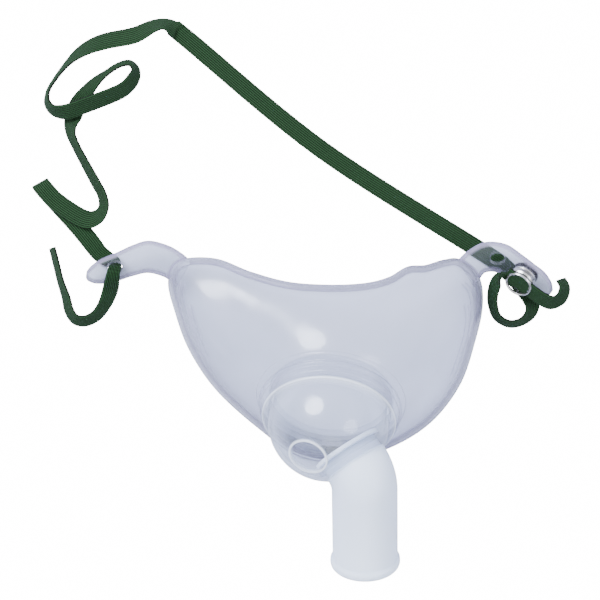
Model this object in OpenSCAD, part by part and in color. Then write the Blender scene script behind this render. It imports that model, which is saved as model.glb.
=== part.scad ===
// Adult tracheostomy mask, lying on its back on a table as it leaves its bag.
// Millimetres. +Z is up from the table, +X is the wearer's left, +Y runs from the chest
// end of the mask towards the chin end. The origin is on the table under the middle of the mask.
// Nodes: one moulded vinyl shell, a port cap that swivels in it, an elbow that swivels in the
// cap, the five pieces of a press snap, and one elastic strap in four lengths.

/* [Shell] */
// Thickness of the vinyl wall
wall = 1.6; // [1.2:0.1:2.0]
// Thickness of the rolled rim
rim_t = 2.4; // [2.0:0.1:3.0]
// Rise of the dome above the rim, as a share of the drawn rise
bulge = 1.0; // [0.85:0.05:1.1]
// Thickness of the two ear tabs
tab_t = 1.7; // [1.4:0.1:2.0]

/* [Port collar and cap] */
// Radius of the collar's bore
bore_r = 20.5; // [19.5:0.1:21.0]
// Height of the collar
collar_h = 7.7; // [7.0:0.1:9.0]
// Angle between the collar's axis and the vertical
collar_tilt = 49; // [46:0.5:52]
// Sideways lean of the collar's axis
collar_lean = 5; // [0:0.5:6]
// Radius of the cap's flange
flange_r = 22.5; // [22:0.1:23.2]
// Outside radius of the cap's dome
dome_r = 20.4; // [19.8:0.1:21.0]
// Thickness of the cap's wall
cap_wall = 1.4; // [1.2:0.1:1.8]
// Radius of the exhalation port
vent_r = 6.15; // [5:0.05:6.5]
// Tilt of the exhalation port away from the cap's axis
vent_tilt = 19.5; // [17:0.5:21]
// Turn of the exhalation port round the cap's axis
vent_turn = 143; // [138:1:148]
// Running clearance of each swivel, on the radius
fit = 0.05; // [0.03:0.01:0.10]

/* [Elbow] */
// Outside radius of the tubing connector, 22 mm across
tube_r = 11; // [11]
// Radius of the airway through the elbow
airway_r = 9.2; // [8.8:0.1:9.5]
// Bend of the elbow
bend = 48; // [44:1:52]
// Length of the straight tube after the bend
tube_l = 29.5; // [28:0.5:34]
// Tilt of the elbow's stub away from the cap's axis
stub_tilt = 47.5; // [45:0.5:49]
// Turn of the elbow's stub round the cap's axis
stub_turn = -36; // [-40:1:-32]
// Turn of the elbow about its own stub
elbow_turn = -79; // [-120:1:-40]

/* [Snap and strap] */
// Radius of the snap's ring cap
snap_r = 4.85; // [4.6:0.05:5.0]
// Width of the elastic
strap_w = 6.35; // [6.0:0.05:6.6]
// Thickness of the elastic
strap_t = 1.1; // [0.9:0.1:1.2]
// Radius of the strap hole and of the spare hole in the tabs
hole_r = 2.6; // [2.4:0.1:2.8]

/* [Hidden] */
$fn = 64;

// Middle of the mask in the frame that it is drawn in
middle = [-3.47, -37.03, -0.111];

// ---- Shell ----

// The rim from the middle of the chin edge, clockwise from above: x, y, z and the wall's rise
rim = [
    [0, 4, 28, 7], [12, 4.6, 27, 7], [20.3, 6.7, 24.2, 7.5], [26.6, 10.2, 21, 8],
    [32.6, 10.7, 17.8, 9.5], [39.2, 12.6, 13.5, 12], [44.5, 12.7, 10, 14],
    [50.5, 7.5, 4.5, 19], [51.8, -2, 0.8, 22], [49.3, -14, 0, 22], [44.3, -28.5, 0, 18],
    [34.8, -41, 0, 12], [22, -49.3, 0, 7], [6, -54.4, 0, 4], [-9.6, -53, 0, 4],
    [-23.2, -43.8, 0, 8], [-38, -30.4, 0, 14], [-47.3, -16.6, 0, 18],
    [-52.3, -3, 0.2, 21], [-54.2, 6.5, 3, 18], [-50.8, 12.5, 8.5, 13.5], [-39, 13, 14.5, 10],
    [-27, 8.5, 21, 8], [-14, 5, 26.5, 7]];
rim_steps = 3;
rows = 9;

// Middle of the collar's base, and the radius at which the dome's wall runs into it
collar_at = [0.4, -33, 28.5];
neck_r = 22.9;

function unit(v) = v / norm(v);
function spin_x(v, a) = [v.x, v.y * cos(a) - v.z * sin(a), v.y * sin(a) + v.z * cos(a)];
function spin_y(v, a) = [v.x * cos(a) + v.z * sin(a), v.y, v.z * cos(a) - v.x * sin(a)];
function collar_way(v) = spin_x(spin_y(v, -collar_lean), collar_tilt);

// A smooth closed curve through the rim's points
function through(p0, p1, p2, p3, t) =
    0.5 * (2 * p1 + (p2 - p0) * t + (2 * p0 - 5 * p1 + 4 * p2 - p3) * t * t
           + (3 * p1 - p0 - 3 * p2 + p3) * t * t * t);
function rim_at(k) =
    let (n = len(rim), i = floor(k / rim_steps), t = k / rim_steps - i)
    through(rim[(i + n - 1) % n], rim[i % n], rim[(i + 1) % n], rim[(i + 2) % n], t);

// The wall's path from one rim point up the side and over the dome to the collar
function quartic(p, t) =
    let (s = 1 - t)
    s * s * s * s * p[0] + 4 * s * s * s * t * p[1] + 6 * s * s * t * t * p[2]
    + 4 * s * t * t * t * p[3] + t * t * t * t * p[4];
function wall_path(r) =
    let (
        foot = [r.x, r.y, r.z],
        x_way = collar_way([1, 0, 0]), y_way = collar_way([0, 1, 0]), axis = collar_way([0, 0, 1]),
        off = foot - collar_at,
        out = unit((off * x_way) * x_way + (off * y_way) * y_way),
        top = collar_at + neck_r * out + 0.9 * axis,
        gap = norm(top - foot),
        inward = unit([top.x - foot.x, top.y - foot.y, 0]),
        rise = r[3] * bulge)
    [foot, foot + [0, 0, 0.75 * rise], foot + 0.3 * rise * inward + [0, 0, 1.45 * rise],
     top + 0.28 * gap * unit(out - axis), top];

function shell_point(k, j) = quartic(wall_path(rim_at(k)), j / rows);
function shell_normal(k, j, n) =
    let (
        along = shell_point((k + 1) % n, j) - shell_point((k + n - 1) % n, j),
        up = shell_point(k, min(j + 1, rows)) - shell_point(k, max(j - 1, 0)))
    unit(cross(up, along));

module dome() {
    n = len(rim) * rim_steps;
    outer = [for (j = [0:rows], k = [0:n - 1])
        shell_point(k, j) + shell_normal(k, j, n) * (j == 0 ? rim_t : wall) / 2];
    inner = [for (j = [0:rows], k = [0:n - 1])
        shell_point(k, j) - shell_normal(k, j, n) * (j == 0 ? rim_t : wall) / 2];
    far = n * (rows + 1);
    sides = [for (j = [0:rows - 1], k = [0:n - 1])
        let (a = j * n + k, b = j * n + (k + 1) % n) each [
            [a, b + n, a + n], [a, b, b + n],
            [far + a, far + a + n, far + b + n], [far + a, far + b + n, far + b]]];
    ends = [for (k = [0:n - 1])
        let (b = (k + 1) % n, u = rows * n + k, v = rows * n + b) each [
            [k, far + b, b], [k, far + k, far + b], [u, v, far + v], [u, far + v, far + u]]];
    polyhedron(concat(outer, inner), concat(sides, ends));
}

// The way each row of a strip points along it
function ways(lines) =
    let (n = len(lines))
    [for (i = [0:n - 1]) unit(lines[min(i + 1, n - 1)][0] - lines[max(i - 1, 0)][0])];

// A flat strip through rows of a centre point and a half-width vector
module strip(lines, way, thick) {
    n = len(lines);
    skin = [for (i = [0:n - 1])
        let (
            c = lines[i][0], w = lines[i][1], e = unit(w) * min(0.35, norm(w) / 3),
            f = unit(cross(way[i], w)) * thick / 2) each [
            c + w - e + f, c + w + 0.5 * f, c + w - 0.5 * f, c + w - e - f,
            c - w + e - f, c - w - 0.5 * f, c - w + 0.5 * f, c - w + e + f]];
    sides = [for (i = [0:n - 2], k = [0:7])
        let (a = i * 8 + k, b = i * 8 + (k + 1) % 8) each [[a, b + 8, a + 8], [a, b, b + 8]]];
    ends = [for (k = [1:6]) each [
        [0, k + 1, k], [(n - 1) * 8, (n - 1) * 8 + k, (n - 1) * 8 + k + 1]]];
    polyhedron(skin, concat(sides, ends));
}

left_tab = [
    [[-50, 8.7, 6.9], [2.6, 4.2, 3.9]], [[-52.3, 10.9, 7], [1.6, 4.9, 3.9]],
    [[-56, 13.3, 7], [0.5, 5.2, 3.7]], [[-62, 14.8, 6.8], [0.3, 5.2, 3.7]],
    [[-67.5, 13.5, 6.5], [0.6, 5.1, 3.7]],
    [[-73.5, 11.2, 6.2], [0.9, 4.8, 3.5]], [[-79, 9.8, 5.9], [0.8, 3.9, 2.9]],
    [[-82.2, 9, 5.7], [0.5, 2.3, 1.7]], [[-83.4, 8.7, 5.6], [0.2, 0.9, 0.7]]];
right_tab = [
    [[46.8, 8.9, 7.6], [-2.9, 4.4, 3.9]], [[49.6, 12, 8.4], [-1.8, 4.8, 3.9]],
    [[53.5, 14.6, 9], [0, 4.9, 3.8]], [[58.8, 14.3, 8.5], [1.4, 4.4, 4.4]],
    [[63.3, 11.4, 7.8], [2.3, 3.7, 4.9]],
    [[67, 8.7, 7.4], [2.5, 3.45, 4.88]], [[71, 5.8, 7.2], [2.4, 3.3, 4.6]],
    [[74.2, 3.5, 7], [1.6, 2.2, 3.1]], [[75.9, 2.3, 6.9], [0.6, 0.8, 1.1]]];

// Where the snap sits on the right tab, the way its axis points, and the flat that it presses
snap_at = [67, 8.7, 7.4];
snap_tilt = 49;
snap_az = 234;
seat_r = 4.8;
// Where the strap passes the left tab, and the way that tab faces there
strap_hole_at = [-73.5, 11.2, 6.2];
tab_tilt = 38;
tab_az = 284;
// The spare hole beside the snap
spare_hole_at = [57.6, 14.5, 8.6];
spare_tilt = 43;
spare_az = 270;

module facing(at, az, tilt) { translate(at) rotate([0, 0, az]) rotate([0, tilt, 0]) children(); }
module collar_frame() {
    translate(collar_at) rotate([collar_tilt, 0, 0]) rotate([0, -collar_lean, 0]) children();
}

module collar() {
    top = collar_h;
    rotate_extrude($fn = 96) polygon([
        [bore_r, -0.2], [24.6, -0.2], [25.2, 0.4], [24.9, 1.4], [23.6, 2.2], [23.2, 2.8],
        [23.9, 3.2], [24.1, 3.8], [23.9, 4.4], [23.2, 4.8], [23.2, 5.6], [23.5, 6],
        [23.5, top - 0.5], [23, top], [bore_r + 0.4, top], [bore_r, top - 0.4]]);
}

module mask_shell() {
    color([0.78, 0.80, 0.86, 0.6]) difference() {
        union() {
            dome();
            collar_frame() collar();
            strip(left_tab, ways(left_tab), tab_t);
            strip(right_tab, ways(right_tab), tab_t);
        }
        collar_frame() translate([0, 0, -3]) cylinder(h = 14, r = bore_r, $fn = 96);
        facing(strap_hole_at, tab_az, tab_tilt) cylinder(h = 8, r = hole_r, center = true);
        facing(spare_hole_at, spare_az, spare_tilt) cylinder(h = 8, r = hole_r, center = true);
        facing(snap_at, snap_az, snap_tilt) cylinder(h = 8, r = eyelet_r + 0.1, center = true);
        for (side = [0, 180])
            facing(snap_at, snap_az, snap_tilt) rotate([side, 0, 0]) translate([0, 0, tab_t / 2])
                cylinder(h = 3, r = seat_r);
    }
}

// ---- Port cap ----

flange_z = collar_h + 0.3;
flange_t = 1.6;
dome_z = flange_z + flange_t;
// Distances along the stub's axis, from the middle of the cap's dome
boss_in = 12.3;
boss_out = 16.3;
stub_r = 10.4;
module stub_frame() {
    translate([0, 0, dome_z]) rotate([0, 0, stub_turn]) rotate([0, stub_tilt, 0]) children();
}
module vent_frame() {
    translate([0, 0, dome_z]) rotate([0, 0, vent_turn]) rotate([0, vent_tilt, 0]) children();
}

module cap_body() {
    inner = dome_r - cap_wall;
    spigot_r = bore_r - fit;
    steps = 16;
    rotate_extrude($fn = 96) polygon(concat(
        [for (i = [0:steps]) dome_r * [cos(90 * i / steps), sin(90 * i / steps)] + [0, dome_z]],
        [for (i = [steps:-1:0]) inner * [cos(90 * i / steps), sin(90 * i / steps)] + [0, dome_z]],
        [[spigot_r - cap_wall, flange_z], [spigot_r - cap_wall, -1.8], [spigot_r, -1.8],
         [spigot_r + 0.6, -1.4], [spigot_r + 0.6, -1], [spigot_r, -0.6], [spigot_r, flange_z],
         [flange_r - 0.4, flange_z], [flange_r, flange_z + 0.4], [flange_r, dome_z - 0.5],
         [flange_r - 0.5, dome_z]]));
}

module port_cap() {
    color([0.80, 0.84, 0.90, 0.6]) collar_frame() difference() {
        union() {
            cap_body();
            stub_frame() translate([0, 0, boss_in]) cylinder(h = boss_out - boss_in, r = 12.3);
            vent_frame() translate([0, 0, 18.7]) cylinder(h = 1.4, r = vent_r + 0.8);
        }
        stub_frame() translate([0, 0, boss_in - 3]) cylinder(h = 14, r = stub_r + fit);
        stub_frame() translate([0, 0, boss_out]) cylinder(h = 8, r = 12.35);
        vent_frame() translate([0, 0, 14]) cylinder(h = 10, r = vent_r);
    }
}

// ---- Swivel elbow ----

shoulder = 17.1;
bend_r = 11.4;
knee_in = 10.5;
bead_r = 11.8;
module elbow_frame() { collar_frame() stub_frame() rotate([0, 0, elbow_turn]) children(); }
// The straight tube's start, after the bend, with +Z along it
module after_bend() {
    translate([bend_r, 0, shoulder]) rotate([0, bend, 0]) translate([-bend_r, 0, 0]) children();
}
// The bend itself, as a length of a ring that runs a little way into the straight parts
lap = 1.5;
step = 0.03;
module bent(r) {
    translate([bend_r, 0, shoulder]) rotate([90, 0, 0]) rotate([0, 0, 180 - bend - lap])
        rotate_extrude(angle = bend + 2 * lap) translate([bend_r, 0]) circle(r = r - step);
}

module swivel_elbow() {
    bead_z = tube_l - 3.6;
    color([0.88, 0.90, 0.95]) elbow_frame() difference() {
        union() {
            rotate_extrude() polygon([
                [0, knee_in], [11.4, knee_in], [11.9, knee_in + 0.5], [11.9, 11.9],
                [stub_r, 12.0], [stub_r, shoulder - 0.6], [tube_r, shoulder - 0.6],
                [tube_r, shoulder], [0, shoulder]]);
            bent(tube_r);
            after_bend() rotate_extrude() polygon([
                [0, 0], [tube_r, 0], [tube_r, bead_z], [11.5, bead_z + 0.6], [bead_r, bead_z + 1.2],
                [bead_r, tube_l - 0.8], [11.4, tube_l - 0.2], [10.9, tube_l], [0, tube_l]]);
        }
        translate([0, 0, knee_in - 1]) cylinder(h = shoulder - knee_in + 1, r = airway_r);
        bent(airway_r);
        after_bend() cylinder(h = tube_l + 1, r = airway_r);
    }
}

// ---- Press snap, along its own axis from the middle of the tab's thickness ----

eyelet_r = 1.9;
tab_face = tab_t / 2 + 0.02;
stud_z = tab_face + 0.7;
socket_z = stud_z + 0.3;
cloth_z = socket_z + 2.2;
ring_z = cloth_z + strap_t + 0.1;
module snap_frame() { facing(snap_at, snap_az, snap_tilt) children(); }

module snap_back_ring() {
    color("silver") snap_frame() rotate_extrude() polygon([
        [1.3, -tab_face - 0.5], [2.4, -tab_face - 0.9], [4.2, -tab_face - 0.9],
        [4.6, -tab_face - 0.5], [4.5, -tab_face], [eyelet_r, -tab_face],
        [eyelet_r, tab_face + 0.45], [1.3, tab_face + 0.45]]);
}

module snap_stud() {
    color("silver") snap_frame() rotate_extrude() polygon([
        [eyelet_r + 0.02, tab_face], [4.3, tab_face], [4.3, stud_z - 0.2], [4.1, stud_z],
        [2.4, stud_z], [2.1, stud_z + 0.5], [2.1, stud_z + 0.9], [2.45, stud_z + 1.3],
        [2.3, stud_z + 1.8], [1.4, stud_z + 2.0], [0, stud_z + 2.0], [0, stud_z + 1.6],
        [1.4, stud_z + 1.5], [eyelet_r + 0.02, stud_z + 0.9]]);
}

module snap_socket() {
    color("silver") snap_frame() rotate_extrude() polygon([
        [2.75, socket_z], [4.4, socket_z], [4.65, socket_z + 0.3], [4.6, socket_z + 1.7],
        [4.2, cloth_z], [0.9, cloth_z], [0.9, cloth_z - 0.25], [2.6, cloth_z - 0.3],
        [2.75, socket_z + 1.3], [3.4, socket_z + 1.3], [3.4, socket_z + 0.5],
        [2.75, socket_z + 0.5]]);
}

module snap_socket_spring() {
    color("gray") snap_frame() translate([0, 0, socket_z + 0.9])
        rotate_extrude() translate([2.95, 0]) circle(r = 0.3, $fn = 24);
}

module snap_ring_cap() {
    prongs = 5;
    color("silver") snap_frame() {
        translate([0, 0, ring_z]) rotate_extrude() polygon([
            [3.95, 0], [4.4, -0.2], [snap_r, -0.1], [snap_r, 0.3], [4.65, 0.65], [4.35, 0.7],
            [4.05, 0.45]]);
        for (i = [0:prongs - 1]) rotate([0, 0, 18 + i * 360 / prongs])
            translate([4.05, 0, cloth_z + 0.05]) cylinder(h = ring_z - cloth_z + 0.3, r = 0.28);
    }
}

// ---- Elastic strap ----
// Each row: x, y, z of the middle of the band, the way its width points (turn about Z, then
// lift from the table), and the share of its width left where it is bunched up.

// The one strap's route, from its free end to the edge of the snap
strap = [
    [-95.3, 18, 3.4, 15, 70, 1], [-94, 12.8, 3.4, 15, 69, 1], [-92.4, 6.4, 3.4, 13, 68, 1],
    [-90.6, 1, 3.3, 12, 62, 1], [-89.5, -3.6, 3.1, 20, 58, 1], [-87.3, -6.7, 3, 58, 56, 1],
    [-83.8, -7.2, 3, 92, 56, 1], [-80, -5.2, 3, 126, 55, 1], [-77.2, -1.3, 3, 150, 48, 1],
    [-75.4, 3, 4.2, 162, 35, 0.9], [-74.4, 7, 7.4, 168, 20, 0.65], [-73.9, 9.5, 8.4, 172, 8, 0.45],
    [-73.5, 11.2, 6.2, 175, 0, 0.42], [-74.2, 13, 3.4, 188, 0, 0.5], [-76.4, 14.2, 1.3, 208, 0, 0.72],
    [-79.3, 16.3, 0.7, 222, 0, 0.9], [-82.2, 20, 0.6, 226, 0, 1], [-86.8, 25.6, 0.6, 221, 0, 1],
    [-92.6, 32, 0.6, 217, 0, 1], [-98.2, 38.2, 0.7, 212, 0, 1], [-99.6, 40.2, 1.4, 210, 0, 1],
    [-98.2, 38.4, 2.1, 212, 0, 1], [-93.5, 33.6, 2, 223, 0, 1], [-84.5, 28, 2, 250, 5, 1],
    [-79.8, 28.6, 2.8, 295, 35, 1], [-77.6, 32, 3.2, 352, 55, 1], [-78.2, 36.3, 3.3, 12, 60, 1],
    [-80.6, 40.8, 3.3, 25, 60, 1], [-87.4, 53.5, 3.3, 22, 65, 1], [-89, 58.7, 2.9, 5, 52, 1],
    [-88, 63.9, 1.3, -15, 12, 1], [-86.4, 67.8, 1.3, -25, 14, 1], [-83.7, 71.4, 2.2, -40, 35, 1],
    [-80.5, 75, 3, -42, 55, 1], [-76.7, 78.1, 3.4, -58, 70, 1], [-72.5, 80.8, 3.4, -65, 72, 1],
    [-68.8, 81.6, 3.4, -95, 72, 1], [-66.7, 79.6, 3.4, -155, 70, 1], [-67.4, 76.3, 3.1, 165, 50, 1],
    [-70.1, 73, 3.2, 130, 45, 1], [-74.6, 70.5, 4, 112, 40, 1], [-86, 66, 6, 108, 38, 1],
    [-90.6, 64.6, 5.6, 90, 42, 1], [-94.4, 65, 4.2, 60, 60, 1], [-96.7, 67.2, 3.4, 20, 68, 1],
    [-97.1, 70.2, 3.4, -5, 76, 1], [-95.7, 74, 3.4, -22, 78, 1], [-90.3, 81.2, 3.3, -42, 70, 1],
    [-84.6, 86, 2.9, -58, 45, 1], [-77.4, 89.1, 2, -72, 22, 1], [-67.4, 91.2, 1.8, -75, 20, 1],
    [-60.8, 94.2, 2.7, -62, 42, 1], [-56.7, 95, 3, -95, 50, 1], [-53.2, 93.3, 2.3, -128, 28, 1],
    [-48, 89.3, 0.8, -132, 2, 1], [-2.4, 51.8, 0.6, -126, 0, 1], [52.5, 16.9, 0.6, -123, 0, 1],
    [60.5, 11.3, 0.6, -128, 0, 1], [66.6, 4.8, 0.7, -140, 2, 1], [69.6, 0, 1.7, -165, 20, 1],
    [69.4, -4.3, 2.9, 158, 48, 1], [66.3, -7.4, 3.3, 120, 66, 1], [62, -8.2, 3.4, 88, 70, 1],
    [57.9, -5.9, 3.8, 45, 70, 1], [56.2, -1.4, 4.8, 8, 66, 1], [56.3, 3.2, 6.8, -8, 62, 1],
    [57.8, 7, 9.2, 20, 58, 1], [60.4, 9.2, 11, 54, 49, 1]];
// Rows at which its lengths meet: in the left tab, at the flat fold, and past the long straight
tab_row = 11;
fold_row = 21;
loop_row = 58;
// The length that the snap is pressed into, from the loop to the strap's other free end
snap_end = [
    [60.5, 9.15, 11, 54, 49, 1], [64.98, 5.9, 11, 54, 49, 1], [69, 3, 11, 54, 49, 1],
    [72.4, 0.6, 10.6, 60, 48, 1], [76.2, -0.9, 9.4, 85, 46, 1], [79.5, 0.8, 8.2, 140, 48, 1],
    [80.7, 4.2, 7.4, 178, 52, 1], [79.4, 7.2, 7, 210, 58, 1]];

function width_way(row) =
    [cos(row[3]) * cos(row[4]), sin(row[3]) * cos(row[4]), sin(row[4])];

function band_lines(route) = [for (row = route)
    [[row.x, row.y, row.z], width_way(row) * strap_w / 2 * row[5]]];

// A length of the strap between two rows of its route, sharing its end rings with its neighbours
module length_of_strap(first, last) {
    lines = band_lines(strap);
    way = ways(lines);
    strip([for (i = [first:last]) lines[i]], [for (i = [first:last]) way[i]], strap_t);
}

module strap_left_tail() { color("darkgreen") length_of_strap(0, tab_row); }
module strap_left_fold() { color("darkgreen") length_of_strap(tab_row, fold_row); }
module strap_long_run() { color("darkgreen") length_of_strap(fold_row, loop_row); }
module strap_right_loop() {
    color("darkgreen") difference() {
        length_of_strap(loop_row, len(strap) - 1);
        snap_frame() cylinder(h = 12, r = snap_r + 0.75);
    }
}
module strap_snap_end() {
    color("darkgreen") intersection() {
        strip(band_lines(snap_end), ways(band_lines(snap_end)), strap_t);
        union() {
            snap_frame() cylinder(h = 12, r = snap_r + 0.65);
            snap_frame() translate([-12, 0, -12]) cube([24, 40, 24]);
        }
    }
}

translate(-middle) {
    mask_shell();
    port_cap();
    swivel_elbow();
    snap_back_ring();
    snap_stud();
    snap_socket();
    snap_socket_spring();
    snap_ring_cap();
    strap_left_tail();
    strap_left_fold();
    strap_long_run();
    strap_right_loop();
    strap_snap_end();
}
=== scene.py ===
"""How an adult tracheostomy mask looks, lying on a white table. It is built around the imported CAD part.

Shapes are drawn in millimetres in the CAD drawing's own frame and placed in metres by placed().
"""

import math

import bmesh
import bpy
import numpy as np
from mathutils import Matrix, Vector
from mathutils.kdtree import KDTree


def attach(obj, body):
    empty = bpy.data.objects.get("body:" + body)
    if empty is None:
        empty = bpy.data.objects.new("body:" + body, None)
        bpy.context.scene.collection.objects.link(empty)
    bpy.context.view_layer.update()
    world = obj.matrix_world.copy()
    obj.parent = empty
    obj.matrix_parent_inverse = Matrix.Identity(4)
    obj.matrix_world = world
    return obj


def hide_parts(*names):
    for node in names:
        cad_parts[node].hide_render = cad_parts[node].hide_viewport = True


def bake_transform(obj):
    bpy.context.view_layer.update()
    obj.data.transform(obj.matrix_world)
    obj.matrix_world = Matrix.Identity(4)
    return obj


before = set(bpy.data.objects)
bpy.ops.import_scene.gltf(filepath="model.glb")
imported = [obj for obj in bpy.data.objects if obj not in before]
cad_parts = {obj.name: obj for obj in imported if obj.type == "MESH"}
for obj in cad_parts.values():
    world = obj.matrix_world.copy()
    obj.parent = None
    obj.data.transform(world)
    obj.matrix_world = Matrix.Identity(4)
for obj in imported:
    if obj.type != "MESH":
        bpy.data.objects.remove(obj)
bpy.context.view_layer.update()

MM = 0.001
MIDDLE = np.array([-3.47, -37.03, -0.111])  # the middle of the mask in the drawing's frame

# ---- Strap ----

STRAP_W = 6.35
STRAP_T = 1.1
RIBS = 9
BAND_STEPS = 10
# Each row: x, y, z of the band's middle, the turn and lift of its width, and the share of its width
STRAP = [
    [-95.3, 18, 3.4, 15, 70, 1], [-94, 12.8, 3.4, 15, 69, 1], [-92.4, 6.4, 3.4, 13, 68, 1],
    [-90.6, 1, 3.3, 12, 62, 1], [-89.5, -3.6, 3.1, 20, 58, 1], [-87.3, -6.7, 3, 58, 56, 1],
    [-83.8, -7.2, 3, 92, 56, 1], [-80, -5.2, 3, 126, 55, 1], [-77.2, -1.3, 3, 150, 48, 1],
    [-75.4, 3, 4.2, 162, 35, 0.9], [-74.4, 7, 7.4, 168, 20, 0.65], [-73.9, 9.5, 8.4, 172, 8, 0.45],
    [-73.5, 11.2, 6.2, 175, 0, 0.42], [-74.2, 13, 3.4, 188, 0, 0.5], [-76.4, 14.2, 1.3, 208, 0, 0.72],
    [-79.3, 16.3, 0.7, 222, 0, 0.9], [-82.2, 20, 0.6, 226, 0, 1], [-86.8, 25.6, 0.6, 221, 0, 1],
    [-92.6, 32, 0.6, 217, 0, 1], [-98.2, 38.2, 0.7, 212, 0, 1], [-99.6, 40.2, 1.4, 210, 0, 1],
    [-98.2, 38.4, 2.1, 212, 0, 1], [-93.5, 33.6, 2, 223, 0, 1], [-84.5, 28, 2, 250, 5, 1],
    [-79.8, 28.6, 2.8, 295, 35, 1], [-77.6, 32, 3.2, 352, 55, 1], [-78.2, 36.3, 3.3, 12, 60, 1],
    [-80.6, 40.8, 3.3, 25, 60, 1], [-87.4, 53.5, 3.3, 22, 65, 1], [-89, 58.7, 2.9, 5, 52, 1],
    [-88, 63.9, 1.3, -15, 12, 1], [-86.4, 67.8, 1.3, -25, 14, 1], [-83.7, 71.4, 2.2, -40, 35, 1],
    [-80.5, 75, 3, -42, 55, 1], [-76.7, 78.1, 3.4, -58, 70, 1], [-72.5, 80.8, 3.4, -65, 72, 1],
    [-68.8, 81.6, 3.4, -95, 72, 1], [-66.7, 79.6, 3.4, -155, 70, 1], [-67.4, 76.3, 3.1, 165, 50, 1],
    [-70.1, 73, 3.2, 130, 45, 1], [-74.6, 70.5, 4, 112, 40, 1], [-86, 66, 6, 108, 38, 1],
    [-90.6, 64.6, 5.6, 90, 42, 1], [-94.4, 65, 4.2, 60, 60, 1], [-96.7, 67.2, 3.4, 20, 68, 1],
    [-97.1, 70.2, 3.4, -5, 76, 1], [-95.7, 74, 3.4, -22, 78, 1], [-90.3, 81.2, 3.3, -42, 70, 1],
    [-84.6, 86, 2.9, -58, 45, 1], [-77.4, 89.1, 2, -72, 22, 1], [-67.4, 91.2, 1.8, -75, 20, 1],
    [-60.8, 94.2, 2.7, -62, 42, 1], [-56.7, 95, 3, -95, 50, 1], [-53.2, 93.3, 2.3, -128, 28, 1],
    [-48, 89.3, 0.8, -132, 2, 1], [-2.4, 51.8, 0.6, -126, 0, 1], [52.5, 16.9, 0.6, -123, 0, 1],
    [60.5, 11.3, 0.6, -128, 0, 1], [66.6, 4.8, 0.7, -140, 2, 1], [69.6, 0, 1.7, -165, 20, 1],
    [69.4, -4.3, 2.9, 158, 48, 1], [66.3, -7.4, 3.3, 120, 66, 1], [62, -8.2, 3.4, 88, 70, 1],
    [57.9, -5.9, 3.8, 45, 70, 1], [56.2, -1.4, 4.8, 8, 66, 1], [56.3, 3.2, 6.8, -8, 62, 1],
    [57.8, 7, 9.2, 20, 58, 1], [60.4, 9.2, 11, 54, 49, 1]]
FOLD_ROW, LOOP_ROW = 21, 58  # rows at which its shown lengths meet
SNAP_END = [
    [60.5, 9.15, 11, 54, 49, 1], [64.98, 5.9, 11, 54, 49, 1], [69, 3, 11, 54, 49, 1],
    [72.4, 0.6, 10.6, 60, 48, 1], [76.2, -0.9, 9.4, 85, 46, 1], [79.5, 0.8, 8.2, 140, 48, 1],
    [80.7, 4.2, 7.4, 178, 52, 1], [79.4, 7.2, 7, 210, 58, 1]]

# ---- Shell ----

# The rim from the middle of the chin edge, clockwise from above: x, y, z and the wall's rise
RIM = [
    [0, 4, 28, 7], [12, 4.6, 27, 7], [20.3, 6.7, 24.2, 7.5], [26.6, 10.2, 21, 8],
    [32.6, 10.7, 17.8, 9.5], [39.2, 12.6, 13.5, 12], [44.5, 12.7, 10, 14],
    [50.5, 7.5, 4.5, 19], [51.8, -2, 0.8, 22], [49.3, -14, 0, 22], [44.3, -28.5, 0, 18],
    [34.8, -41, 0, 12], [22, -49.3, 0, 7], [6, -54.4, 0, 4], [-9.6, -53, 0, 4],
    [-23.2, -43.8, 0, 8], [-38, -30.4, 0, 14], [-47.3, -16.6, 0, 18],
    [-52.3, -3, 0.2, 21], [-54.2, 6.5, 3, 18], [-50.8, 12.5, 8.5, 13.5], [-39, 13, 14.5, 10],
    [-27, 8.5, 21, 8], [-14, 5, 26.5, 7]]
RIM_STEPS = 10  # points to each gap between the rim's rows
WALL_ROWS = 36
# Lines along the side walls that get painted shade, standing in for creases in the vinyl: a row of the wall,
# then the first and last point along the rim
CREASE_SHADE_LINES = ((16, 66, 112), (19, 72, 96), (16, 158, 196), (20, 172, 190))
WALL = 1.6
BEAD = 2.5
TAB_T = 1.7
HOLE_R = 2.6
EYELET_R = 2.0
# Rows of a tab's middle and its half-width
LEFT_TAB = [
    [[-50, 8.7, 6.9], [2.6, 4.2, 3.9]], [[-52.3, 10.9, 7], [1.6, 4.9, 3.9]],
    [[-56, 13.3, 7], [0.5, 5.2, 3.7]], [[-62, 14.8, 6.8], [0.3, 5.2, 3.7]],
    [[-67.5, 13.5, 6.5], [0.6, 5.1, 3.7]],
    [[-73.5, 11.2, 6.2], [0.9, 4.8, 3.5]], [[-79, 9.8, 5.9], [0.8, 3.9, 2.9]],
    [[-82.2, 9, 5.7], [0.5, 2.3, 1.7]], [[-83.4, 8.7, 5.6], [0.2, 0.9, 0.7]]]
RIGHT_TAB = [
    [[46.8, 8.9, 7.6], [-2.9, 4.4, 3.9]], [[49.6, 12, 8.4], [-1.8, 4.8, 3.9]],
    [[53.5, 14.6, 9], [0, 4.9, 3.8]], [[58.8, 14.3, 8.5], [1.4, 4.4, 4.4]],
    [[63.3, 11.4, 7.8], [2.3, 3.7, 4.9]],
    [[67, 8.7, 7.4], [2.5, 3.45, 4.88]], [[71, 5.8, 7.2], [2.4, 3.3, 4.6]],
    [[74.2, 3.5, 7], [1.6, 2.2, 3.1]], [[75.9, 2.3, 6.9], [0.6, 0.8, 1.1]]]
COLLAR_AT = np.array([0.4, -33, 28.5])  # the middle of the collar's base
COLLAR_TILT = 49
COLLAR_LEAN = 5
COLLAR_H = 7.7
NECK_R = 22.9
BORE_R = 20.5
SNAP_AT = [67, 8.7, 7.4]
SNAP_TURN = 234
SNAP_TILT = 49

# ---- Cap and elbow ----

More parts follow.
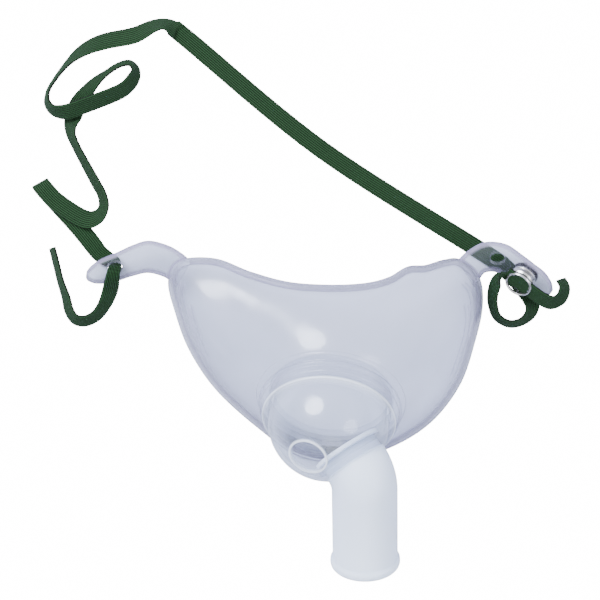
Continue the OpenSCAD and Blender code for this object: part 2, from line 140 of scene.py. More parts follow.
DOME_R = 20.4
DOME_Z = 9.6
CAP_WALL = 1.4
FLANGE_R = 22.5
FLANGE_Z = 8.0
VENT_R = 6.15
BOSS_R = 12.3
BOSS_IN, BOSS_OUT = 12.3, 16.3  # the boss that the stub turns in, along the stub
LIP_IN, LIP_OUT = 18.6, 20.2  # the exhalation port's lip, along its axis
STUB_R = 10.4
TUBE_R = 11
AIRWAY_R = 9.2
TUBE_L = 29.5
BEND = 48
BEND_R = 11.4
SHOULDER = 17.1
KNEE_IN = 10.5

WHITE = 16.0  # the light that shows as plain white


# ---- Geometry helpers ----


def unit(v):
    """Vectors along the last axis, made one long."""
    v = np.asarray(v, float)
    return v / np.maximum(np.linalg.norm(v, axis=-1, keepdims=True), 1e-9)


def turned(axis, angle):
    """A 4x4 turn about X, Y or Z, in degrees."""
    c, s = math.cos(math.radians(angle)), math.sin(math.radians(angle))
    m = np.eye(4)
    i, j = {"X": (1, 2), "Y": (2, 0), "Z": (0, 1)}[axis]
    m[i, i] = m[j, j] = c
    m[j, i] = s
    m[i, j] = -s
    return m


def moved(x, y, z):
    """A 4x4 move."""
    m = np.eye(4)
    m[:3, 3] = x, y, z
    return m


def placed(points, matrix=None):
    """Points of the drawing in millimetres, after an optional 4x4, as metres in the row frame."""
    points = np.asarray(points, float)
    if matrix is not None:
        points = points @ matrix[:3, :3].T + matrix[:3, 3]
    return (points - MIDDLE) * MM


COLLAR = moved(*COLLAR_AT) @ turned("X", COLLAR_TILT) @ turned("Y", -COLLAR_LEAN)
STUB = COLLAR @ moved(0, 0, DOME_Z) @ turned("Z", -36) @ turned("Y", 47.5)
VENT = COLLAR @ moved(0, 0, DOME_Z) @ turned("Z", 143) @ turned("Y", 19.5)
ELBOW = STUB @ turned("Z", -79)
SNAP = moved(*SNAP_AT) @ turned("Z", SNAP_TURN) @ turned("Y", SNAP_TILT)
STRAP_HOLE = moved(-73.5, 11.2, 6.2) @ turned("Z", 284) @ turned("Y", 38)
SPARE_HOLE = moved(57.6, 14.5, 8.6) @ turned("Z", 270) @ turned("Y", 43)


def smooth_rows(points, steps, closed=False):
    """Rows on a smooth curve through the given rows, so many to each gap."""
    p = np.asarray(points, float)
    n = len(p)
    if closed:
        before, after = p[-1:], p[:2]
    else:
        before, after = 2 * p[:1] - p[1:2], 2 * p[-1:] - p[-2:-1]
    q = np.concatenate([before, p, after])
    rows = []
    for i in range(n if closed else n - 1):
        a, b, c, d = q[i : i + 4]
        for t in np.arange(steps) / steps:
            rows.append(
                0.5 * (2 * b + (c - a) * t + (2 * a - 5 * b + 4 * c - d) * t**2
                       + (3 * b - a - 3 * c + d) * t**3)
            )
    if not closed:
        rows.append(p[-1])
    return np.array(rows)


def grid_faces(rows, columns, around=True, along=False):
    """Quads of a grid of points, row by row. around closes each row, and along joins last row to first."""
    faces = []
    for j in range(rows if along else rows - 1):
        for k in range(columns if around else columns - 1):
            a, b = j * columns + k, j * columns + (k + 1) % columns
            c, d = ((j + 1) % rows) * columns + (k + 1) % columns, ((j + 1) % rows) * columns + k
            faces.append((a, b, c, d))
    return faces


def add_mesh(name, points, faces, uv=None):
    """A shown mesh object, smooth shaded, from points in metres. uv gives each point's texture place."""
    mesh = bpy.data.meshes.new(name)
    mesh.from_pydata([tuple(p) for p in points], [], faces)
    if uv is not None:
        layer = mesh.uv_layers.new(name="UVMap")
        corners = np.empty(len(mesh.loops), dtype=np.int32)
        mesh.loops.foreach_get("vertex_index", corners)
        layer.data.foreach_set("uv", np.asarray(uv, np.float32)[corners].ravel())
    mesh.validate()
    mesh.update()
    thing = bpy.data.objects.new(name, mesh)
    bpy.context.scene.collection.objects.link(thing)
    mesh.shade_smooth()
    return thing


def outward(thing):
    """Turns the faces of a closed mesh outwards."""
    bm = bmesh.new()
    bm.from_mesh(thing.data)
    bmesh.ops.recalc_face_normals(bm, faces=bm.faces)
    bm.to_mesh(thing.data)
    bm.free()
    return thing


def revolved(name, profile, matrix, turns=128):
    """A closed profile of radius and height, turned round Z and placed. Radius 0 isn't allowed."""
    profile = np.asarray(profile, float)
    angles = np.linspace(0, 2 * math.pi, turns, endpoint=False)
    rings = np.stack(
        [profile[:, None, 0] * np.cos(angles), profile[:, None, 0] * np.sin(angles),
         np.repeat(profile[:, None, 1], turns, axis=1)], axis=-1)
    points = placed(rings.reshape(-1, 3), matrix)
    return outward(add_mesh(name, points, grid_faces(len(profile), turns, along=True)))


def drum(name, radius, low, high, matrix, turns=96):
    """A plain solid cylinder along Z, used as a cutter."""
    angles = np.linspace(0, 2 * math.pi, turns, endpoint=False)
    ring = np.stack([radius * np.cos(angles), radius * np.sin(angles), np.zeros(turns)], axis=1)
    points = placed(np.concatenate([ring + [0, 0, low], ring + [0, 0, high]]), matrix)
    faces = grid_faces(2, turns)
    faces += [tuple(range(turns)), tuple(range(turns, 2 * turns))]
    return outward(add_mesh(name, points, faces))


def arc(middle, radius, start, end, steps):
    """Points on an arc in a profile, in degrees from the radius axis."""
    angles = np.radians(np.linspace(start, end, steps + 1))
    return [[middle[0] + radius * math.cos(a), middle[1] + radius * math.sin(a)] for a in angles]


def combined(base, others, how):
    """Joins or cuts closed meshes, and removes the ones that were used."""
    for other in others:
        change = base.modifiers.new(how, "BOOLEAN")
        change.operation = how
        change.solver = "MANIFOLD"
        change.object = other
        done = bpy.data.meshes.new_from_object(base.evaluated_get(bpy.context.evaluated_depsgraph_get()))
        base.modifiers.clear()
        old = base.data
        base.data = done
        bpy.data.meshes.remove(old)
        bpy.data.objects.remove(other)
    return base


def soften(thing, angle=32):
    """Smooth shading with creases only where faces meet sharply."""
    thing.data.shade_smooth()
    bpy.context.view_layer.objects.active = thing
    for other in bpy.context.selected_objects:
        other.select_set(False)
    thing.select_set(True)
    bpy.ops.object.shade_smooth_by_angle(angle=math.radians(angle))
    thing.select_set(False)
    return thing


# ---- Camera ----


def add_camera():
    """Straight above the table, a metre up, with the chest end of the mask towards the picture's foot."""
    data = bpy.data.cameras.new("overhead")
    data.lens = 173.7
    data.sensor_width = 36
    data.clip_start = 0.05
    camera = bpy.data.objects.new("overhead", data)
    camera.location = placed([-10.02, 0, 999.889])
    bpy.context.scene.collection.objects.link(camera)
    bpy.context.scene.camera = camera


# ---- Materials ----


def new_material(name):
    """A material with an empty node tree: its nodes, its links and its output."""
    material = bpy.data.materials.new(name)
    material.use_nodes = True
    nodes = material.node_tree.nodes
    nodes.clear()
    output = nodes.new("ShaderNodeOutputMaterial")
    return material, nodes, material.node_tree.links, output


def math_node(nodes, links, operation, first, second=None):
    """A Math node's output. Each input is a number or a socket."""
    node = nodes.new("ShaderNodeMath")
    node.operation = operation
    for socket, value in zip(node.inputs, (first, second)):
        if value is None:
            continue
        if isinstance(value, (int, float)):
            socket.default_value = value
        else:
            links.new(value, socket)
    return node.outputs[0]


def noise(nodes, links, scale, detail=3.0):
    """Noise in object space."""
    place = nodes.new("ShaderNodeTexCoord")
    texture = nodes.new("ShaderNodeTexNoise")
    texture.inputs["Scale"].default_value = scale
    texture.inputs["Detail"].default_value = detail
    links.new(place.outputs["Object"], texture.inputs["Vector"])
    return texture.outputs[0]


def ranged(nodes, links, value, low, high, start=0.0, end=1.0):
    """A value spread from start..end to low..high."""
    node = nodes.new("ShaderNodeMapRange")
    node.inputs["From Min"].default_value = start
    node.inputs["From Max"].default_value = end
    node.inputs["To Min"].default_value = low
    node.inputs["To Max"].default_value = high
    links.new(value, node.inputs["Value"])
    return node.outputs[0]


def bump(nodes, links, height, strength, distance):
    """A normal from a height."""
    node = nodes.new("ShaderNodeBump")
    node.inputs["Strength"].default_value = strength
    node.inputs["Distance"].default_value = distance
    links.new(height, node.inputs["Height"])
    return node.outputs[0]


def clear_plastic(name, tint, body, painted_shade_and_highlight, haze, edge, rough, flow):
    """Clear plastic: tinted light passes, and a dull body shows at steep walls. Along lines marked in a point
    attribute, the second colour is painted light: painted shade on the shell, a painted highlight on the cap.
    """
    material, nodes, links, output = new_material(name)
    normal = bump(nodes, links, noise(nodes, links, flow, 2.0), 0.5, 0.0009)
    open_part = nodes.new("ShaderNodeBsdfTransparent")
    open_part.inputs["Color"].default_value = (*tint, 1)
    # The marked lines get the colour of painted shade and highlight, spread a little at random.
    along = nodes.new("ShaderNodeAttribute")
    along.attribute_name = "painted_shade_and_highlight"
    cloud = ranged(nodes, links, noise(nodes, links, 90.0, 4.0), 0.85, 1.1)
    near = math_node(nodes, links, "MULTIPLY", along.outputs["Fac"], cloud)
    colour = nodes.new("ShaderNodeMix")
    colour.data_type = "RGBA"
    links.new(near, colour.inputs["Factor"])
    colour.inputs["A"].default_value = (*body, 1)
    colour.inputs["B"].default_value = (*painted_shade_and_highlight, 1)
    solid = nodes.new("ShaderNodeBsdfPrincipled")
    links.new(colour.outputs["Result"], solid.inputs["Base Color"])
    solid.inputs["Roughness"].default_value = 0.45
    look = nodes.new("ShaderNodeLayerWeight")
    look.inputs["Blend"].default_value = 0.5
    steep = ranged(nodes, links, math_node(nodes, links, "POWER", look.outputs["Facing"], 2.6), haze, edge)
    share = math_node(nodes, links, "MAXIMUM", steep, math_node(nodes, links, "MULTIPLY", near, 0.75))
    wall = nodes.new("ShaderNodeMixShader")
    links.new(share, wall.inputs["Fac"])
    links.new(open_part.outputs[0], wall.inputs[1])
    links.new(solid.outputs[0], wall.inputs[2])
    gloss = nodes.new("ShaderNodeBsdfAnisotropic")
    links.new(ranged(nodes, links, noise(nodes, links, 220.0), rough * 0.8, rough * 1.3),
              gloss.inputs["Roughness"])
    links.new(normal, gloss.inputs["Normal"])
    mirror = ranged(nodes, links, math_node(nodes, links, "POWER", look.outputs["Facing"], 5.0), 0.04, 0.8)
    skin = nodes.new("ShaderNodeMixShader")
    links.new(mirror, skin.inputs["Fac"])
    links.new(wall.outputs[0], skin.inputs[1])
    links.new(gloss.outputs[0], skin.inputs[2])
    links.new(skin.outputs[0], output.inputs["Surface"])
    return material


def milky_plastic():
    """Natural polyethylene: white, waxy and a little see-through."""
    material, nodes, links, output = new_material("milky_polyethylene")
    solid = nodes.new("ShaderNodeBsdfPrincipled")
    solid.inputs["Base Color"].default_value = (0.67, 0.745, 0.99, 1)
    solid.inputs["IOR"].default_value = 1.5
    solid.inputs["Subsurface Weight"].default_value = 0.7
    solid.inputs["Subsurface Radius"].default_value = (1.0, 1.0, 1.1)
    solid.inputs["Subsurface Scale"].default_value = 0.004
    links.new(ranged(nodes, links, noise(nodes, links, 300.0), 0.3, 0.42), solid.inputs["Roughness"])
    links.new(bump(nodes, links, noise(nodes, links, 130.0, 2.0), 0.15, 0.0003), solid.inputs["Normal"])
    links.new(solid.outputs[0], output.inputs["Surface"])
    return material


def nickel():
    """Nickel-plated steel with faint handling marks."""
    material, nodes, links, output = new_material("nickel_plate")
    solid = nodes.new("ShaderNodeBsdfPrincipled")
    solid.inputs["Base Color"].default_value = (0.50, 0.49, 0.49, 1)
    solid.inputs["Metallic"].default_value = 1.0
    links.new(ranged(nodes, links, noise(nodes, links, 2500.0), 0.16, 0.34), solid.inputs["Roughness"])
    links.new(bump(nodes, links, noise(nodes, links, 1500.0), 0.1, 0.0001), solid.inputs["Normal"])
    links.new(solid.outputs[0], output.inputs["Surface"])
    return material


def braid():
    """Green braided elastic: yarns cross over each rubber strand in a row of chevrons. Its colour is darker in
    the grooves between strands, a painted shade, and a little lighter on the yarns' crests, a painted
    highlight.
    """
    material, nodes, links, output = new_material("green_braid")
    place = nodes.new("ShaderNodeUVMap")
    split = nodes.new("ShaderNodeSeparateXYZ")
    links.new(place.outputs[0], split.inputs[0])
    strand = math_node(nodes, links, "FRACT", math_node(nodes, links, "MULTIPLY", split.outputs[0], RIBS))
    lean = math_node(nodes, links, "ABSOLUTE", math_node(nodes, links, "SUBTRACT", strand, 0.5))
    step = math_node(nodes, links, "ADD", math_node(nodes, links, "MULTIPLY", split.outputs[1], 1.6), lean)
    yarn = math_node(nodes, links, "SINE", math_node(nodes, links, "MULTIPLY", step, 2 * math.pi))
    fuzz = noise(nodes, links, 4000.0, 4.0)
    height = math_node(nodes, links, "ADD", math_node(nodes, links, "MULTIPLY", yarn, 0.5), fuzz)
    colour = nodes.new("ShaderNodeValToRGB")
    colour.color_ramp.elements[0].color = (0.0005, 0.003, 0.0008, 1)
    colour.color_ramp.elements[1].color = (0.011, 0.048, 0.013, 1)
    # Painted shade darkens the grooves between strands, and a faint painted highlight lightens the yarns'
    # crests.
    groove_shade = math_node(nodes, links, "SUBTRACT", 1.0, math_node(nodes, links, "MULTIPLY", lean, 1.9))
    rib_shade_and_highlight = math_node(nodes, links, "ADD", groove_shade, math_node(nodes, links, "MULTIPLY", yarn, 0.08))
    links.new(ranged(nodes, links, rib_shade_and_highlight, 0.0, 1.0, 0.2, 1.1), colour.inputs["Fac"])
    solid = nodes.new("ShaderNodeBsdfPrincipled")
    solid.inputs["Sheen Weight"].default_value = 0.04
    solid.inputs["Sheen Roughness"].default_value = 0.4
    solid.inputs["Roughness"].default_value = 0.7
    solid.inputs["Specular IOR Level"].default_value = 0.15
    links.new(colour.outputs[0], solid.inputs["Base Color"])
    links.new(bump(nodes, links, height, 0.5, 0.0001), solid.inputs["Normal"])
    links.new(solid.outputs[0], output.inputs["Surface"])
    return material


def table_top():
    """A light table: grey paper under clear parts, and lit white where nothing is in between."""
    material, nodes, links, output = new_material("white_table")
    paper = nodes.new("ShaderNodeBsdfDiffuse")
    paper.inputs["Color"].default_value = (0.54, 0.57, 0.70, 1)
    glow = nodes.new("ShaderNodeEmission")
    glow.inputs["Strength"].default_value = WHITE
    ray = nodes.new("ShaderNodeLightPath")
    bare = math_node(nodes, links, "LESS_THAN", ray.outputs["Transparent Depth"], 0.5)
    seen = math_node(nodes, links, "MULTIPLY", ray.outputs["Is Camera Ray"], bare)
    mix = nodes.new("ShaderNodeMixShader")
    links.new(seen, mix.inputs["Fac"])
    links.new(paper.outputs[0], mix.inputs[1])
    links.new(glow.outputs[0], mix.inputs[2])
    links.new(mix.outputs[0], output.inputs["Surface"])
    return material


def dress(thing, material):
    """Gives a piece its only material."""
    thing.data.materials.clear()
    thing.data.materials.append(material)
    return thing


# ---- Strap ----


def strap_section():
    """The band's outline: across in shares of the half width, and up in millimetres, with its ribs."""
    per_side = RIBS * 6
    shape = []
    for side in (1, -1):
        for i in range(per_side):
            share = side * (1 - 2 * i / per_side)
            rib = abs(math.sin(math.pi * RIBS * (share + 1) / 2)) ** 0.8
            edge = (1 - abs(share) ** 10) ** 0.5
            shape.append((share, side * edge * (STRAP_T / 2 - 0.13 + 0.15 * rib)))
    return np.array(shape)


def smooth_band(rows):
    """A band's fine rows: middle, the width's way, share of the width, the way along, and how far along."""
    rows = np.asarray(rows, float)
    turn, lift = np.radians(rows[:, 3]), np.radians(rows[:, 4])
    ways = np.stack([np.cos(turn) * np.cos(lift), np.sin(turn) * np.cos(lift), np.sin(lift)], axis=1)
    fine = smooth_rows(np.concatenate([rows[:, :3], ways, rows[:, 5:]], axis=1), BAND_STEPS)
    steps = np.linalg.norm(np.diff(fine[:, :3], axis=0), axis=1)
    far = np.concatenate([[0], np.cumsum(steps)])
    return np.concatenate([fine, unit(np.gradient(fine[:, :3], axis=0)), far[:, None]], axis=1)


def band(name, fine):
    """A ribbed band along fine rows, and the route that it follows, in metres."""
    middle, share, along, far = fine[:, :3], fine[:, 6:7], fine[:, 7:10], fine[:, 10]
    up = unit(np.cross(along, unit(fine[:, 3:6])))
    across = unit(np.cross(up, along))
    section = strap_section()
    half = STRAP_W / 2 * (0.5 + 0.5 * share)
    thick = 1 + 2.8 * (1 - share)
    rings = (middle[:, None] + section[None, :, :1] * (across * half)[:, None]
             + section[None, :, 1:] * (up * thick)[:, None])
    lowest = MIDDLE[2] + 0.02
    rings[..., 2] = np.maximum(rings[..., 2], lowest)
    n, m = rings.shape[:2]
    u = np.broadcast_to((section[:, 0] + 1) / 2, (n, m))
    v = np.broadcast_to(far[:, None], (n, m))
    faces = grid_faces(n, m)
    faces += [tuple(range(m)), tuple(range((n - 1) * m, n * m))]
    thing = add_mesh(name, placed(rings.reshape(-1, 3)), faces, np.stack([u, v], axis=-1).reshape(-1, 2))
    return outward(thing), placed(middle)


def add_strap(material):
    """One strap: from its free end through the left tab, along the table, to the snap on the right tab."""
    fine = smooth_band(STRAP)
    fold_at, loop_at = FOLD_ROW * BAND_STEPS, LOOP_ROW * BAND_STEPS
    left, left_route = band("strap_left", fine[: fold_at + 1])
    run, run_route = band("strap_run", fine[fold_at : loop_at + 1])
    loop, loop_route = band("strap_loop", fine[loop_at:])
    end, _ = band("strap_end", smooth_band(SNAP_END))
    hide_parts("strap_left_tail", "strap_left_fold")
    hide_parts("strap_long_run")
    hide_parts("strap_right_loop")
    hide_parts("strap_snap_end")
    for piece in (left, run, loop, end):
        dress(soften(piece, 60), material)
    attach(left, "mask")
    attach(run, "mask")
    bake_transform(loop)
    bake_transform(end)


# ---- Shell ----


def wall_grid(rim_steps, rows):
    """Points on the middle of the wall, in rows from just above the rim up to the collar."""
    rim = smooth_rows(RIM, rim_steps, closed=True)
    foot, rise = rim[:, :3], rim[:, 3:]
    x_way, y_way, axis = COLLAR[:3, 0], COLLAR[:3, 1], COLLAR[:3, 2]
    off = foot - COLLAR_AT
    out = unit((off @ x_way)[:, None] * x_way + (off @ y_way)[:, None] * y_way)
    top = COLLAR_AT + NECK_R * out + 0.9 * axis
    gap = np.linalg.norm(top - foot, axis=1, keepdims=True)
    inward = unit((top - foot) * [1, 1, 0])
    up = np.array([0, 0, 1.0])
    control = [foot, foot + 0.75 * rise * up, foot + 0.3 * rise * inward + 1.45 * rise * up,
               top + 0.28 * gap * unit(out - axis), top]
    start = (BEAD / 2) / (3 * rise)
    share = np.linspace(0, 1, rows + 1)[:, None] ** 1.4
    t = (start.T + (1 - start.T) * share)[..., None]
    weights = [(1 - t) ** 4, 4 * (1 - t) ** 3 * t, 6 * (1 - t) ** 2 * t**2, 4 * (1 - t) * t**3, t**4]
    return sum(w * c[None] for w, c in zip(weights, control))


def dome():
    """The dome's wall with a rounded bead along its rim."""
    grid = wall_grid(RIM_STEPS, WALL_ROWS)
    rows, columns = grid.shape[:2]
    along = np.roll(grid, -1, axis=1) - np.roll(grid, 1, axis=1)
    up = np.gradient(grid, axis=0)
    normal = unit(np.cross(up, along))
    far = np.concatenate([np.zeros((1, columns)),
                          np.cumsum(np.linalg.norm(np.diff(grid, axis=0), axis=2), axis=0)])
    fade = np.clip(1 - far / 3.2, 0, 1)[..., None] ** 2
    half = (WALL + (BEAD - WALL) * fade) / 2
    outer, inner = grid + normal * half, grid - normal * half
    down = -unit(up[0])
    turns = np.radians(np.linspace(0, 180, 9)[1:-1])
    edge = [grid[0] + BEAD / 2 * (math.cos(a) * normal[0] + math.sin(a) * down) for a in turns]
    rings = np.concatenate([outer[::-1], np.array(edge), inner])
    rings[..., 2] = np.maximum(rings[..., 2], MIDDLE[2])
    points = placed(rings.reshape(-1, 3))
    return outward(add_mesh("mask_dome", points, grid_faces(len(rings), columns, along=True)))


def tab(name, lines):
    """An ear tab: a flat strip with crisp edges and a round tip."""
    rows = smooth_rows([[*middle, *half] for middle, half in lines], 10)
    middle, half = rows[:, :3], rows[:, 3:]
    face = unit(np.cross(unit(np.gradient(middle, axis=0)), half))
    reach = np.linalg.norm(half, axis=1)[:, None]
    way = half / reach
    flat = TAB_T / 2
    corner = [(0.4, flat), (0.12, flat - 0.12), (0, flat - 0.4)]
    corner += [(inset, -up) for inset, up in reversed(corner)]
    rings = []
    for side in (1, -1):
        for inset, up in corner:
            rings.append(middle + side * way * (reach - np.minimum(inset, reach / 2)) + side * face * up)
        for i in range(1, 10):
            across = (reach - np.minimum(0.4, reach / 2)) * (1 - i / 5)
            rings.append(middle + side * way * across - side * face * flat)
    rings = np.array(rings).transpose(1, 0, 2)
    n, m = rings.shape[:2]
    faces = grid_faces(n, m)
    faces += [tuple(range(m)), tuple(range((n - 1) * m, n * m))]
    return outward(add_mesh(name, placed(rings.reshape(-1, 3)), faces))


def tab_border(lines):
    """The line round a tab, at the middle of its thickness."""
    rows = smooth_rows([[*middle, *half] for middle, half in lines], 30)
    return placed(np.concatenate([rows[:, :3] + rows[:, 3:], rows[:, :3] - rows[:, 3:]]))


def mark_painted_light(thing, line, full, none):
    """Raises the point attribute of painted shade and highlight near a line: to 1 within one distance, and to
    0 past another.
    """
    tree = KDTree(len(line))
    for i, point in enumerate(line):
        tree.insert(point, i)
    tree.balance()
    mesh = thing.data
    layer = mesh.attributes.get("painted_shade_and_highlight") or mesh.attributes.new("painted_shade_and_highlight", "FLOAT", "POINT")
    for vertex, value in zip(mesh.vertices, layer.data):
        gap = tree.find(vertex.co)[2] / MM
        value.value = max(value.value, min(max((none - gap) / (none - full), 0), 1))


def collar():
    """The stepped ring that the cap turns in."""
    top = COLLAR_H
    profile = smooth_rows(
        [[24.6, -0.2], [25.2, 0.4], [24.9, 1.4], [23.6, 2.2], [23.2, 2.8], [23.9, 3.2], [24.1, 3.8],
         [23.9, 4.4], [23.2, 4.8], [23.2, 5.6], [23.5, 6.1], [23.5, top - 0.5], [23.1, top]], 4)
    inside = [[BORE_R + 0.4, top], [BORE_R, top - 0.4], [BORE_R, -0.2]]
    return revolved("mask_collar", [*profile.tolist(), *inside], COLLAR)


def add_shell(material):
    """The clear vinyl moulding: dome, collar and two ear tabs, with its holes."""
    shell = combined(dome(), [collar(), tab("tab_left", LEFT_TAB), tab("tab_right", RIGHT_TAB)], "UNION")
    holes = [drum("cut_bore", BORE_R, -3, 11, COLLAR), drum("cut_strap", HOLE_R, -4, 4, STRAP_HOLE, 48),
             drum("cut_spare", HOLE_R, -4, 4, SPARE_HOLE, 48), drum("cut_snap", EYELET_R, -4, 4, SNAP, 48)]
    shell = combined(shell, holes, "DIFFERENCE")
    shell.name = "vinyl_shell"
    # Painted shade: a darker colour along the rim's bead, along the creases of the side walls and round both
    # tabs.
    mark_painted_light(shell, placed(smooth_rows(RIM, 30, closed=True)[:, :3] + [0, 0, BEAD / 2]), 1.35, 2.1)
    wall = wall_grid(RIM_STEPS, WALL_ROWS)
    for row, first, last in CREASE_SHADE_LINES:
        mark_painted_light(shell, placed(smooth_rows(wall[row, first:last], 8)), 0.4, 1.5)
    mark_painted_light(shell, tab_border(LEFT_TAB), 0.95, 1.4)
    mark_painted_light(shell, tab_border(RIGHT_TAB), 0.95, 1.4)
    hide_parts("mask_shell")
    dress(soften(shell), material)
    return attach(shell, "mask")


# ---- Cap and elbow ----


def add_cap(material):
    """The port cap: a clear dome with a flange and spigot, the elbow's boss and the exhalation port."""
    inner = DOME_R - CAP_WALL
    spigot = BORE_R - 0.05
    small = 0.4
    profile = [[small, DOME_Z + (r**2 - small**2) ** 0.5] for r in (DOME_R, inner)]
    profile += arc([0, DOME_Z], inner, 88, 0, 40)
    profile += [[spigot - CAP_WALL, FLANGE_Z], [spigot - CAP_WALL, -1.8], [spigot, -1.8]]
    profile += [[spigot + 0.6, -1.4], [spigot + 0.6, -1.0], [spigot, -0.6], [spigot, FLANGE_Z]]
    profile += arc([FLANGE_R - 0.4, FLANGE_Z + 0.4], 0.4, -90, 0, 4)
    profile += arc([FLANGE_R - 0.5, DOME_Z - 0.5], 0.5, 0, 90, 4)
    profile += arc([0, DOME_Z], DOME_R, 2.5, 88, 40)
    cap = revolved("cap_dome", profile, COLLAR, 160)
    plug = drum("cap_pole", 0.9, DOME_Z + inner - 0.02, DOME_Z + DOME_R, COLLAR, 24)
    round_off = 0.4
    boss_profile = [[6, BOSS_IN], [BOSS_R - 0.3, BOSS_IN], [BOSS_R, BOSS_IN + 0.3],
                    *arc([BOSS_R - round_off, BOSS_OUT - round_off], round_off, 0, 90, 4), [6, BOSS_OUT]]
    boss = revolved("cap_boss", boss_profile, STUB, 96)
    lip_profile = [[VENT_R - 1, LIP_IN], [VENT_R + 0.8, LIP_IN],
                   *arc([VENT_R + round_off, LIP_OUT - round_off], round_off, 0, 90, 4), [VENT_R - 1, LIP_OUT]]
    lip = revolved("cap_lip", lip_profile, VENT, 64)
    cap = combined(cap, [plug, boss, lip], "UNION")
    cuts = [drum("cut_stub", STUB_R + 0.05, 5, 24, STUB), drum("cut_vent", VENT_R, 14, 24, VENT)]
    cap = combined(cap, cuts, "DIFFERENCE")
    cap.name = "clear_cap"
    turn = np.linspace(0, 2 * math.pi, 721)
    ring = np.stack([np.cos(turn), np.sin(turn), np.zeros(721)], axis=1)
    # Painted highlight: a bright colour on the exhalation port's lip and on the flange's rim.
    mark_painted_light(cap, placed(ring * (VENT_R + 0.3) + [0, 0, LIP_OUT - 0.1], VENT), 0.2, 0.8)
    mark_painted_light(cap, placed(ring * (FLANGE_R - 0.2) + [0, 0, DOME_Z - 0.3], COLLAR), 0.05, 0.8)
    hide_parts("port_cap")
    dress(soften(cap), material)
    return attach(cap, "cap")


def elbow_rings(profile):
    """Rings of the elbow at radius and distance along its middle: a stub, a bend, then a straight tube."""
    bend = math.radians(BEND)
    bend_length = BEND_R * bend
    turns = 96
    angles = np.linspace(0, 2 * math.pi, turns, endpoint=False)
    rings = []
    for radius, far in profile:
        angle = min(max((far - SHOULDER) / BEND_R, 0), bend)
        past = max(far - SHOULDER - bend_length, 0)
        side = np.array([math.cos(angle), 0, -math.sin(angle)])
        ahead = np.array([math.sin(angle), 0, math.cos(angle)])
        middle = np.array([BEND_R, 0, SHOULDER]) - BEND_R * side + ahead * past
        if far < SHOULDER:
            middle = np.array([0, 0, far])
        around = np.cos(angles)[:, None] * side + np.sin(angles)[:, None] * [0, 1, 0]
        rings.append(middle + radius * around)
    return np.array(rings)


def add_elbow(material):
    """The milky elbow, open right through, with a bead at its mouth and a flange inside the cap."""
    mouth = SHOULDER + BEND_R * math.radians(BEND) + TUBE_L
    bend_stations = np.linspace(SHOULDER, SHOULDER + BEND_R * math.radians(BEND), 15)
    outside = [[AIRWAY_R, KNEE_IN], [11.4, KNEE_IN], [11.8, KNEE_IN + 0.2], [11.9, KNEE_IN + 0.6],
               [11.9, 11.8], [11.7, 12.0], [STUB_R, 12.0], [STUB_R, SHOULDER - 0.8],
               [TUBE_R - 0.15, SHOULDER - 0.6],
               [TUBE_R, SHOULDER - 0.3]]
    outside += [[TUBE_R, far] for far in bend_stations[1:]]
    outside += [[TUBE_R, mouth - 3.8], [11.1, mouth - 3.5], [11.5, mouth - 2.9], [11.75, mouth - 2.4],
                [11.8, mouth - 1.9], [11.8, mouth - 1.2], [11.65, mouth - 0.6], [11.3, mouth - 0.15],
                [10.9, mouth]]
    inside = [[9.9, mouth], [9.5, mouth - 0.25], [AIRWAY_R, mouth - 0.9]]
    inside += [[AIRWAY_R, far] for far in bend_stations[::-1]]
    rings = elbow_rings(outside + inside)
    points = placed(rings.reshape(-1, 3), ELBOW)
    elbow = outward(add_mesh("milky_elbow", points, grid_faces(len(rings), rings.shape[1], along=True)))
    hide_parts("swivel_elbow")
    dress(soften(elbow, 40), material)
    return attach(elbow, "elbow")


def finish_snap(material):
    """The press snap keeps its exact CAD pieces and gets its plating."""
    for name in ("snap_back_ring", "snap_stud", "snap_socket", "snap_socket_spring", "snap_ring_cap"):
        dress(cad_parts[name], material)


# ---- Studio ----


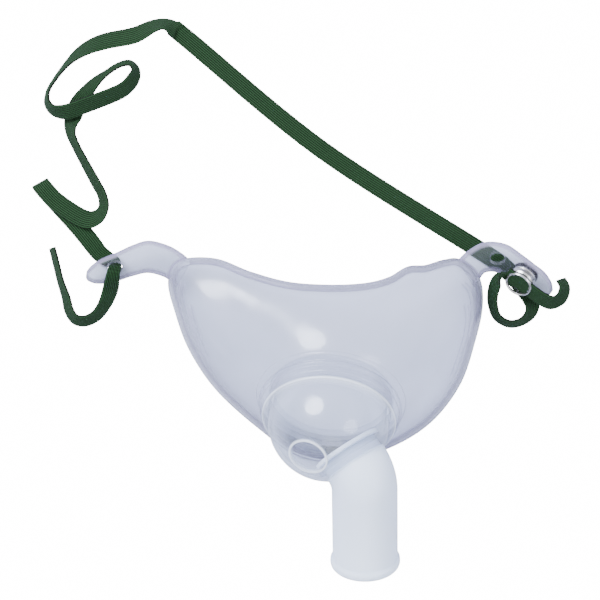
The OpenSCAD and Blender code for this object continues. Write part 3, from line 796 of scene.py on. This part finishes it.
def area_light(name, place, aim, size, power, colour=(0.88, 0.93, 1)):
    """A round soft light at a place, pointing at a place."""
    data = bpy.data.lights.new(name, "AREA")
    data.shape = "DISK"
    data.size = size
    data.energy = power
    data.color = colour
    light = bpy.data.objects.new(name, data)
    light.location = place
    ahead = Vector(aim) - Vector(place)
    light.rotation_euler = ahead.to_track_quat("-Z", "Y").to_euler()
    bpy.context.scene.collection.objects.link(light)
    return light


def add_studio():
    """A white table and soft light from above and both sides."""
    size = 3.0
    below = -0.0001
    corners = [(x * size, y * size, below) for x, y in ((-1, -1), (1, -1), (1, 1), (-1, 1))]
    table = add_mesh("table", corners, [(0, 1, 2, 3)])
    table.data.materials.append(table_top())
    add_surround()
    area_light("key", (-0.55, 0.6, 0.9), (0, 0, 0.02), 0.7, 36.0)
    area_light("fill", (0.95, -0.2, 1.1), (0, 0, 0.02), 0.7, 9.0)
    area_light("front", (0.1, -1.0, 0.9), (0, 0, 0.02), 1.0, 6.0)


def add_surround():
    """A white room: even light on the object, and plain white behind it."""
    world = bpy.data.worlds.new("studio")
    world.use_nodes = True
    nodes, links = world.node_tree.nodes, world.node_tree.links
    ray = nodes.new("ShaderNodeLightPath")
    way = nodes.new("ShaderNodeTexCoord")
    split = nodes.new("ShaderNodeSeparateXYZ")
    links.new(way.outputs["Generated"], split.inputs[0])
    sky = ranged(nodes, links, split.outputs[2], 0.3, 1.9, 0.05, 0.75)
    seen = ray.outputs["Is Camera Ray"]
    strength = math_node(nodes, links, "MAXIMUM", sky, math_node(nodes, links, "MULTIPLY", seen, WHITE))
    nodes["Background"].inputs["Color"].default_value = (0.92, 0.955, 1, 1)
    links.new(strength, nodes["Background"].inputs["Strength"])
    bpy.context.scene.world = world


add_camera()
add_strap(braid())
# The shell's second colour is its painted shade, dark; the cap's second colour is its painted highlight,
# bright.
add_shell(clear_plastic("clear_vinyl", tint=(0.94, 0.945, 0.965), body=(0.40, 0.39, 0.53),
                        painted_shade_and_highlight=(0.22, 0.19, 0.33), haze=0.03, edge=0.62, rough=0.2, flow=60.0))
add_cap(clear_plastic("clear_polypropylene", tint=(0.955, 0.965, 0.985), body=(0.56, 0.60, 0.72),
                      painted_shade_and_highlight=(0.85, 0.90, 1.00), haze=0.02, edge=0.5, rough=0.17, flow=90.0))
add_elbow(milky_plastic())
finish_snap(nickel())
add_studio()
